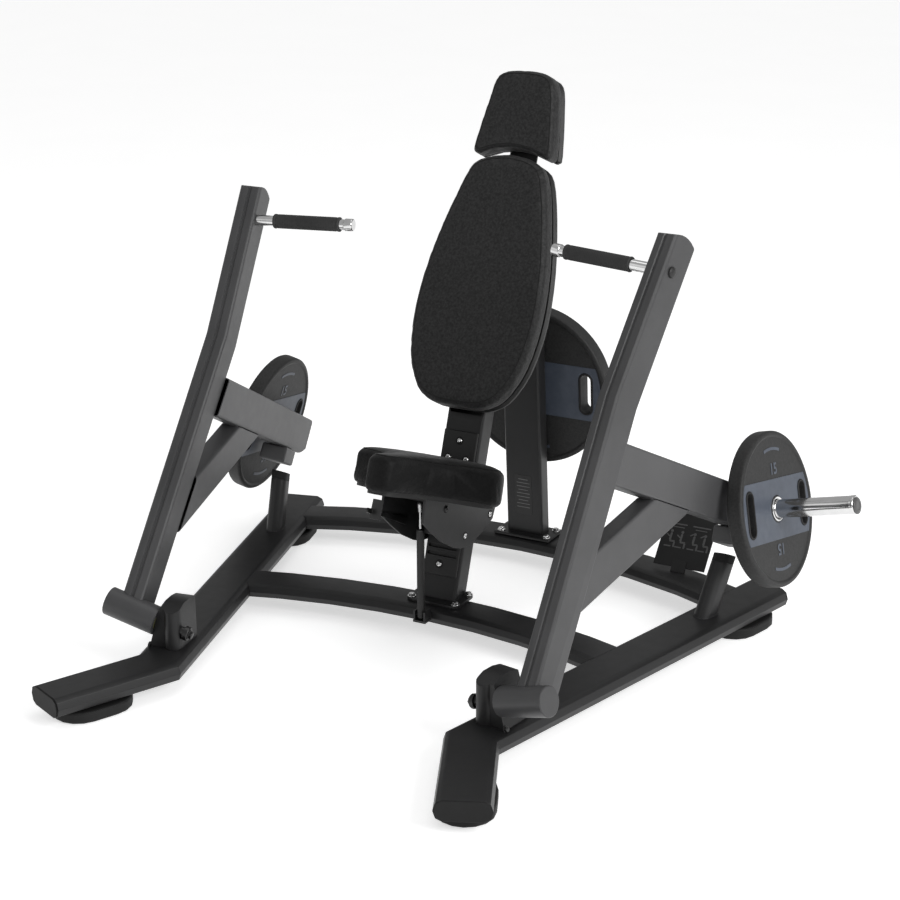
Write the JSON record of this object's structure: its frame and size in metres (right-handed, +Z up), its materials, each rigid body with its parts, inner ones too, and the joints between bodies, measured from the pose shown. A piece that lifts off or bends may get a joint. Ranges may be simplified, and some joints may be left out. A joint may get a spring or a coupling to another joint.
{
  "type": "shoulder press machine",
  "caption": "Plate-loaded seated shoulder press with a sliding seat, leaning back and head pads, and two hinged press arms that carry round weight plates.",
  "frame": {"origin": "middle of the footprint's bounding box, on the floor", "axes": "+Z up, -Y the front that the user faces, +X to the right as seen from the front, and the frame is symmetric about X = 0"},
  "size_m": [1.9882, 1.6578, 1.3804],
  "materials": {
    "frame_paint": "satin charcoal powder coat",
    "arm_paint": "satin dark grey powder coat",
    "rubber": "matte",
    "plate_rubber": "matte moulded rubber with a blue-grey band",
    "vinyl": "fine-grained black upholstery vinyl",
    "shell_plastic": "satin black moulding",
    "chrome": "polished",
    "steel": "brushed",
    "bronze": "plain bearing"
  },
  "bodies": {
    "frame": {"front_crossbar": "frame_paint", "rear_crossbar": "frame_paint", "seat_post": "frame_paint", "seat_post_cover": "shell_plastic", "seat_post_top_cover": "shell_plastic", "pad_carrier": "frame_paint", "backrest_shell": "shell_plastic", "backrest_cushion": "vinyl", "headrest_shell": "shell_plastic", "headrest_cushion": "vinyl", "rear_column": "frame_paint", "storage_peg": "chrome", "placard": "shell_plastic", "rail_right": "frame_paint", "rail_cap_front_right": "rubber", "rail_cap_rear_right": "rubber", "foot_front_right": "rubber", "foot_rear_right": "rubber", "pivot_bracket_right": "frame_paint", "pivot_shaft_right": "steel", "stop_post_right": "frame_paint", "stop_bumper_right": "rubber", "rail_left": "frame_paint", "rail_cap_front_left": "rubber", "rail_cap_rear_left": "rubber", "foot_front_left": "rubber", "foot_rear_left": "rubber", "pivot_bracket_left": "frame_paint", "pivot_shaft_left": "steel", "stop_post_left": "frame_paint", "stop_bumper_left": "rubber"},
    "right_arm": {"pivot_tube_right": "arm_paint", "pivot_bush_right": "bronze", "arm_upright_right": "arm_paint", "weight_lever_right": "arm_paint", "lever_brace_right": "arm_paint", "stop_saddle_right": "arm_paint", "handle_bar_right": "chrome", "handle_grip_right": "rubber", "weight_peg_right": "chrome"},
    "left_arm": {"pivot_tube_left": "arm_paint", "pivot_bush_left": "bronze", "arm_upright_left": "arm_paint", "weight_lever_left": "arm_paint", "lever_brace_left": "arm_paint", "stop_saddle_left": "arm_paint", "handle_bar_left": "chrome", "handle_grip_left": "rubber", "weight_peg_left": "chrome"},
    "right_plate": {"weight_plate_right": "plate_rubber"},
    "left_plate": {"weight_plate_left": "plate_rubber"},
    "stored_plate": {"storage_plate": "plate_rubber"},
    "seat": {"seat_carriage": "frame_paint", "carriage_guide_front": "shell_plastic", "carriage_guide_rear": "shell_plastic", "seat_board": "shell_plastic", "seat_cushion": "vinyl"},
    "seat_lever": {"adjust_lever": "steel"},
    "gas_spring_cylinder": {"gas_cylinder": "shell_plastic"},
    "gas_spring_rod": {"gas_rod": "chrome"}
  },
  "joints": [
    {"name": "right_arm_pivot", "type": "hinge", "parent": "frame", "child": "right_arm", "pos_m": [0.543, -0.468, 0.164], "axis": [0.9443, -0.1665, 0.284], "range_deg": [0, 34]},
    {"name": "left_arm_pivot", "type": "hinge", "parent": "frame", "child": "left_arm", "pos_m": [-0.543, -0.468, 0.164], "axis": [0.9443, 0.1665, -0.284], "range_deg": [0, 34]},
    {"name": "right_plate_slide", "type": "slide", "parent": "right_arm", "child": "right_plate", "axis": [0.9645, -0.0844, 0.2504], "range_m": [0, 0.17]},
    {"name": "left_plate_slide", "type": "slide", "parent": "left_arm", "child": "left_plate", "axis": [-0.9645, -0.0844, 0.2504], "range_m": [0, 0.17]},
    {"name": "stored_plate_slide", "type": "slide", "parent": "frame", "child": "stored_plate", "axis": [0, 0.9968, 0.0797], "range_m": [0, 0.13]},
    {"name": "seat_slide", "type": "slide", "parent": "frame", "child": "seat", "axis": [0, 0.3338, 0.9426], "range_m": [-0.04, 0.08]},
    {"name": "seat_lever_pivot", "type": "hinge", "parent": "seat", "child": "seat_lever", "pos_m": [-0.0527, 0.035, 0.318], "axis": [-1, 0, 0], "range_deg": [0, 5], "stiffness_Nm_per_rad": 3, "springref_deg": -8.59},
    {"name": "gas_spring_pivot", "type": "hinge", "parent": "frame", "child": "gas_spring_cylinder", "pos_m": [0, 0.024, 0.07], "axis": [-1, 0, 0], "range_deg": [-2.5, 5]},
    {"name": "gas_spring_stroke", "type": "slide", "parent": "gas_spring_cylinder", "child": "gas_spring_rod", "axis": [0, 0, 1], "range_m": [-0.04, 0.08]}
  ],
  "couplings": [
    {"joint": "gas_spring_pivot", "follows": "seat_slide", "rad_per_m": 1},
    {"joint": "gas_spring_stroke", "follows": "seat_slide", "ratio": 0.95}
  ]
}
